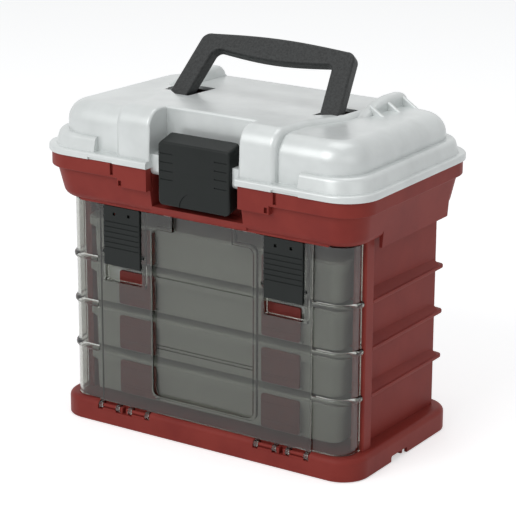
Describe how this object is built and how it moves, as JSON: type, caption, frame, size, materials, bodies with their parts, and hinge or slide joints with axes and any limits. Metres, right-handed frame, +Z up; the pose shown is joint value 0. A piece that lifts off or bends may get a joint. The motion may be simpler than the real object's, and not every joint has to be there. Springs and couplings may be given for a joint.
{
  "type": "fishing tackle cabinet",
  "caption": "Portable tackle cabinet: latched top tray with folding handle over a rack of slide-out utility boxes behind a drop-down clear door.",
  "frame": {"origin": "centre of the base's underside", "axes": "+Z up, -Y towards the front door, +X to the right as seen from the front"},
  "size_m": [0.2902, 0.1839, 0.2977],
  "materials": {
    "red_shell": "moulded polypropylene, satin",
    "silver_lid": "pearl silver moulding",
    "black_latch": "fine-textured moulding",
    "black_grip": "grained moulding",
    "smoke_clear": "smoke-tinted clear plastic",
    "clear_box": "clear polypropylene",
    "red_latch": "moulded",
    "hinge_steel": "plated pin"
  },
  "bodies": {
    "cabinet": {"base": "red_shell", "side_panel_left": "red_shell", "side_panel_right": "red_shell", "back_panel": "red_shell", "tub": "red_shell", "lid_hinge_pin_left": "hinge_steel", "lid_hinge_pin_right": "hinge_steel"},
    "lid": {"lid": "silver_lid"},
    "lid_latch": {"lid_latch": "black_latch"},
    "handle": {"handle": "black_grip"},
    "door": {"door": "smoke_clear"},
    "door_latch_left": {"door_latch_left": "black_latch"},
    "door_latch_right": {"door_latch_right": "black_latch"},
    "box_1": {"box_tray_1": "clear_box", "box_lid_1": "clear_box", "box_latch_1_left": "red_latch", "box_latch_1_right": "red_latch", "box_dividers_1": "clear_box"},
    "box_2": {"box_tray_2": "clear_box", "box_lid_2": "clear_box", "box_latch_2_left": "red_latch", "box_latch_2_right": "red_latch", "box_dividers_2": "clear_box"},
    "box_3": {"box_tray_3": "clear_box", "box_lid_3": "clear_box", "box_latch_3_left": "red_latch", "box_latch_3_right": "red_latch", "box_dividers_3": "clear_box"},
    "box_4": {"box_tray_4": "clear_box", "box_lid_4": "clear_box", "box_latch_4_left": "red_latch", "box_latch_4_right": "red_latch", "box_dividers_4": "clear_box"}
  },
  "joints": [
    {"name": "lid_hinge", "type": "hinge", "parent": "cabinet", "child": "lid", "pos_m": [0, 0.091, 0.211], "axis": [-1, 0, 0], "range_deg": [0, 100]},
    {"name": "lid_latch_pivot", "type": "hinge", "parent": "lid", "child": "lid_latch", "pos_m": [0, -0.076, 0.2165], "axis": [-1, 0, 0], "range_deg": [0, 18]},
    {"name": "handle_pivot", "type": "hinge", "parent": "lid", "child": "handle", "pos_m": [0, -0.004, 0.252], "axis": [-1, 0, 0], "range_deg": [-41, 26]},
    {"name": "door_hinge", "type": "hinge", "parent": "cabinet", "child": "door", "pos_m": [0, -0.0745, 0.0145], "axis": [1, 0, 0], "range_deg": [0, 90]},
    {"name": "door_latch_left_pivot", "type": "hinge", "parent": "door", "child": "door_latch_left", "pos_m": [-0.07325, -0.07285, 0.142], "axis": [-1, 0, 0], "range_deg": [0, 15]},
    {"name": "door_latch_right_pivot", "type": "hinge", "parent": "door", "child": "door_latch_right", "pos_m": [0.07325, -0.07285, 0.142], "axis": [-1, 0, 0], "range_deg": [0, 15]},
    {"name": "box_1_slide", "type": "slide", "parent": "cabinet", "child": "box_1", "axis": [0, -1, 0], "range_m": [0, 0.0165]},
    {"name": "box_2_slide", "type": "slide", "parent": "cabinet", "child": "box_2", "axis": [0, -1, 0], "range_m": [0, 0.0759]},
    {"name": "box_3_slide", "type": "slide", "parent": "cabinet", "child": "box_3", "axis": [0, -1, 0], "range_m": [0, 0.1274]},
    {"name": "box_4_slide", "type": "slide", "parent": "cabinet", "child": "box_4", "axis": [0, -1, 0], "range_m": [0, 0.1274]}
  ],
  "couplings": [
    {"joint": "box_1_slide", "follows": "door_hinge", "m_per_rad": 0.0102},
    {"joint": "box_2_slide", "follows": "door_hinge", "m_per_rad": 0.048},
    {"joint": "box_3_slide", "follows": "door_hinge", "m_per_rad": 0.0808},
    {"joint": "box_4_slide", "follows": "door_hinge", "m_per_rad": 0.0808}
  ]
}
